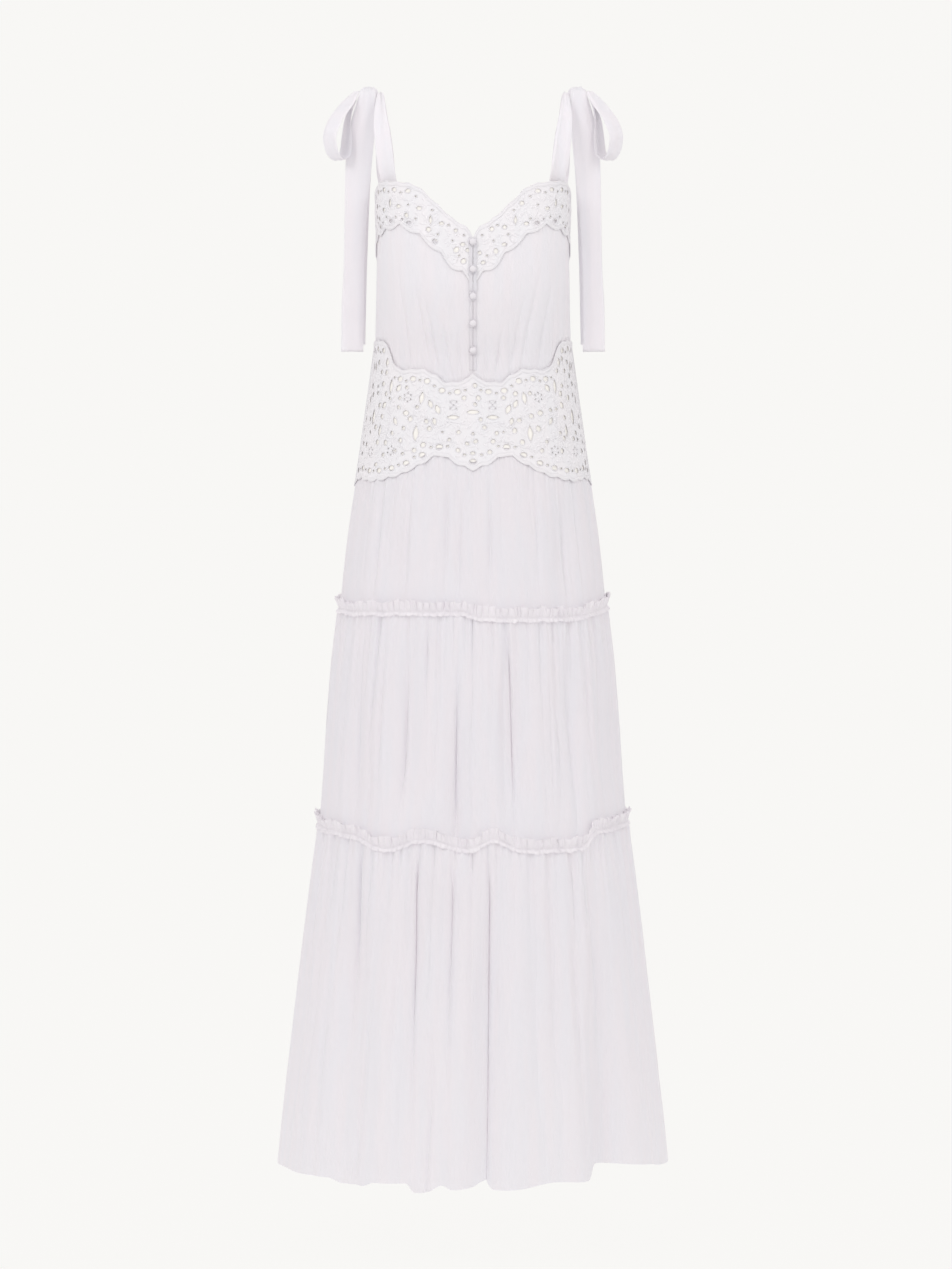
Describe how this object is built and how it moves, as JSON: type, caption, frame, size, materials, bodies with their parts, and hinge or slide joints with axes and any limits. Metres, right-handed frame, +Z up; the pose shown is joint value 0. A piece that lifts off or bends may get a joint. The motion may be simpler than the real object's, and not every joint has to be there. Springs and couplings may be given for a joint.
{
  "type": "maxi dress",
  "caption": "Sleeveless tiered maxi dress with broderie lace neckline and waist yoke, covered buttons and tie straps with a bow on each shoulder.",
  "frame": {"origin": "midway between the two shoulder knots, at the height where the wearer's shoulders hold the straps", "axes": "+Z up, the front of the dress faces -Y, +X is the wearer's left"},
  "size_m": [0.5306, 0.4614, 1.4556],
  "materials": {
    "broderie": "white cotton broderie lace, matt",
    "lining": "plain off-white cotton lining, matt",
    "voile": "white crinkled cotton voile, matt",
    "strap_cloth": "white cotton voile, doubled, matt",
    "covered_button": "white cotton over a ball"
  },
  "bodies": {
    "root": {"neck_lace_front_left": "broderie", "neck_lace_front_right": "broderie", "neck_lace_back": "broderie", "yoke_lace_front": "broderie", "yoke_lace_back": "broderie", "neck_lining_front_left": "lining", "neck_lining_front_right": "lining", "neck_lining_back": "lining", "yoke_lining_front": "lining", "yoke_lining_back": "lining", "bodice_front_left": "voile", "bodice_front_right": "voile", "bodice_back": "voile", "placket_left": "voile", "placket_right": "voile", "tier_1_front": "voile", "tier_1_back": "voile", "tier_2_front": "voile", "tier_2_back": "voile", "tier_3_front": "voile", "tier_3_back": "voile", "frill_1_front": "voile", "frill_1_back": "voile", "frill_2_front": "voile", "frill_2_back": "voile", "strap_front_left": "strap_cloth", "strap_back_left": "strap_cloth", "knot_left": "strap_cloth", "loop_left": "strap_cloth", "tail_front_left": "strap_cloth", "tail_back_left": "strap_cloth", "strap_front_right": "strap_cloth", "strap_back_right": "strap_cloth", "knot_right": "strap_cloth", "loop_right": "strap_cloth", "tail_front_right": "strap_cloth", "tail_back_right": "strap_cloth", "button_1": "covered_button", "button_2": "covered_button", "button_3": "covered_button", "button_4": "covered_button", "button_5": "covered_button"}
  },
  "joints": []
}
